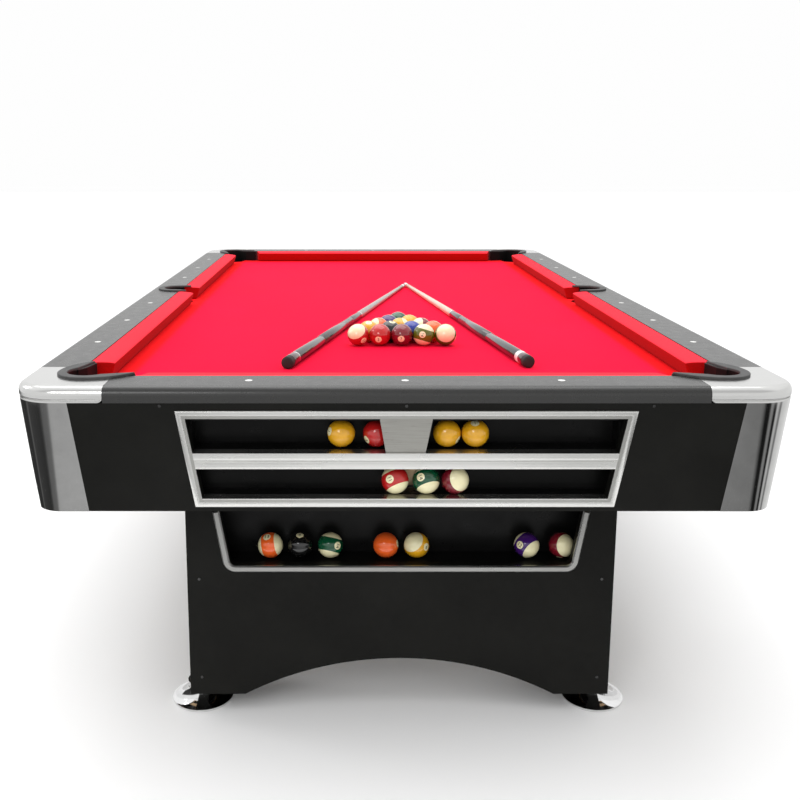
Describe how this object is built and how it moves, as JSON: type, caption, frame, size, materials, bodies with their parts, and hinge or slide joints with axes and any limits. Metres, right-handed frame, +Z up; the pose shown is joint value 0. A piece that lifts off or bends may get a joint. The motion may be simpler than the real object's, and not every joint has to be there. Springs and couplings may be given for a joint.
{
  "type": "pool table",
  "caption": "Slate pool table with corner and side pockets, shelved ball return windows at one end, metal corners and two pedestals on levelling feet.",
  "frame": {"origin": "on the floor, under the middle of the table", "axes": "+X to the right seen from the foot end, +Y along the table to the head end, +Z up"},
  "size_m": [1.58, 2.85, 0.8134],
  "materials": {
    "cabinet_laminate": "fine-grained black laminate",
    "rail_laminate": "dark grey laminate, matt",
    "chrome": "polished",
    "foot_chrome": "polished",
    "trim_aluminium": "satin, extruded",
    "plate_aluminium": "brushed",
    "cloth": "red worsted cloth",
    "slate": "honed slate",
    "liner_plastic": "moulded, dark grey",
    "sight_plastic": "white inlay",
    "frame_wood": "sawn softwood",
    "tray_laminate": "black laminate",
    "track_plastic": "extruded black plastic",
    "stud_steel": "zinc plated",
    "screw_steel": "nickel plated",
    "ball_resin": "polished resin",
    "cue_left_wood": "lacquered maple",
    "cue_right_wood": "lacquered maple"
  },
  "bodies": {
    "table": {"bed_cloth": "cloth", "cabinet_end_foot": "cabinet_laminate", "cabinet_end_head": "cabinet_laminate", "cabinet_frame": "frame_wood", "cabinet_screws": "screw_steel", "cabinet_side_left": "cabinet_laminate", "cabinet_side_right": "cabinet_laminate", "centre_plate": "plate_aluminium", "corner_casting_foot_left": "chrome", "corner_casting_foot_right": "chrome", "corner_casting_head_left": "chrome", "corner_casting_head_right": "chrome", "corner_cover_foot_left": "chrome", "corner_cover_foot_right": "chrome", "corner_cover_head_left": "chrome", "corner_cover_head_right": "chrome", "corner_pocket_liner_foot_left": "liner_plastic", "corner_pocket_liner_foot_right": "liner_plastic", "corner_pocket_liner_head_left": "liner_plastic", "corner_pocket_liner_head_right": "liner_plastic", "cushion_foot": "cloth", "cushion_head": "cloth", "cushion_left_foot": "cloth", "cushion_left_head": "cloth", "cushion_right_foot": "cloth", "cushion_right_head": "cloth", "end_rail_foot": "rail_laminate", "end_rail_head": "rail_laminate", "gully_track_left": "track_plastic", "gully_track_right": "track_plastic", "lower_tray": "tray_laminate", "lower_window_trim": "trim_aluminium", "middle_tray": "tray_laminate", "pedestal_carcass_foot": "cabinet_laminate", "pedestal_carcass_head": "cabinet_laminate", "pedestal_face_foot": "cabinet_laminate", "pedestal_face_head": "cabinet_laminate", "rail_sights": "sight_plastic", "side_pocket_liner_left": "liner_plastic", "side_pocket_liner_right": "liner_plastic", "side_rail_left": "rail_laminate", "side_rail_right": "rail_laminate", "slate_centre": "slate", "slate_foot": "slate", "slate_head": "slate", "upper_tray": "tray_laminate", "window_trim": "trim_aluminium"},
    "leveller_foot_left": {"leveller_foot_left": "foot_chrome"},
    "stud_foot_left": {"leveller_stud_foot_left": "stud_steel"},
    "leveller_foot_right": {"leveller_foot_right": "foot_chrome"},
    "stud_foot_right": {"leveller_stud_foot_right": "stud_steel"},
    "leveller_head_left": {"leveller_head_left": "foot_chrome"},
    "stud_head_left": {"leveller_stud_head_left": "stud_steel"},
    "leveller_head_right": {"leveller_head_right": "foot_chrome"},
    "stud_head_right": {"leveller_stud_head_right": "stud_steel"},
    "upper_window_balls": {"upper_window_balls": "ball_resin"},
    "lower_window_balls": {"lower_window_balls": "ball_resin"},
    "racked_balls": {"racked_balls": "ball_resin"},
    "cue_left": {"cue_left": "cue_left_wood"},
    "cue_right": {"cue_right": "cue_right_wood"}
  },
  "joints": [
    {"name": "leveller_foot_left_extend", "type": "slide", "parent": "table", "child": "leveller_foot_left", "axis": [0, 0, -1], "range_m": [0, 0.02]},
    {"name": "stud_foot_left_turn", "type": "hinge", "parent": "leveller_foot_left", "child": "stud_foot_left", "pos_m": [-0.4555, -1.199, 0.06], "axis": [0, 0, -1], "range_deg": [0, 3601]},
    {"name": "leveller_foot_right_extend", "type": "slide", "parent": "table", "child": "leveller_foot_right", "axis": [0, 0, -1], "range_m": [0, 0.02]},
    {"name": "stud_foot_right_turn", "type": "hinge", "parent": "leveller_foot_right", "child": "stud_foot_right", "pos_m": [0.4555, -1.199, 0.06], "axis": [0, 0, -1], "range_deg": [0, 3601]},
    {"name": "leveller_head_left_extend", "type": "slide", "parent": "table", "child": "leveller_head_left", "axis": [0, 0, -1], "range_m": [0, 0.02]},
    {"name": "stud_head_left_turn", "type": "hinge", "parent": "leveller_head_left", "child": "stud_head_left", "pos_m": [-0.4555, 1.199, 0.06], "axis": [0, 0, -1], "range_deg": [0, 3601]},
    {"name": "leveller_head_right_extend", "type": "slide", "parent": "table", "child": "leveller_head_right", "axis": [0, 0, -1], "range_m": [0, 0.02]},
    {"name": "stud_head_right_turn", "type": "hinge", "parent": "leveller_head_right", "child": "stud_head_right", "pos_m": [0.4555, 1.199, 0.06], "axis": [0, 0, -1], "range_deg": [0, 3601]},
    {"name": "upper_window_balls_roll", "type": "slide", "parent": "table", "child": "upper_window_balls", "axis": [1, 0, 0], "range_m": [-0.25, 0.24]},
    {"name": "lower_window_balls_roll", "type": "slide", "parent": "table", "child": "lower_window_balls", "axis": [1, 0, 0], "range_m": [-0.09, 0.02]},
    {"name": "racked_balls_lift", "type": "slide", "parent": "table", "child": "racked_balls", "axis": [0, 0, 1], "range_m": [0, 0.3]},
    {"name": "cue_left_lift", "type": "slide", "parent": "table", "child": "cue_left", "axis": [0, 0, 1], "range_m": [0, 0.3]},
    {"name": "cue_right_lift", "type": "slide", "parent": "table", "child": "cue_right", "axis": [0, 0, 1], "range_m": [0, 0.3]}
  ],
  "couplings": [
    {"joint": "stud_foot_left_turn", "follows": "leveller_foot_left_extend", "rad_per_m": 3141.6},
    {"joint": "stud_foot_right_turn", "follows": "leveller_foot_right_extend", "rad_per_m": 3141.6},
    {"joint": "stud_head_left_turn", "follows": "leveller_head_left_extend", "rad_per_m": 3141.6},
    {"joint": "stud_head_right_turn", "follows": "leveller_head_right_extend", "rad_per_m": 3141.6}
  ]
}
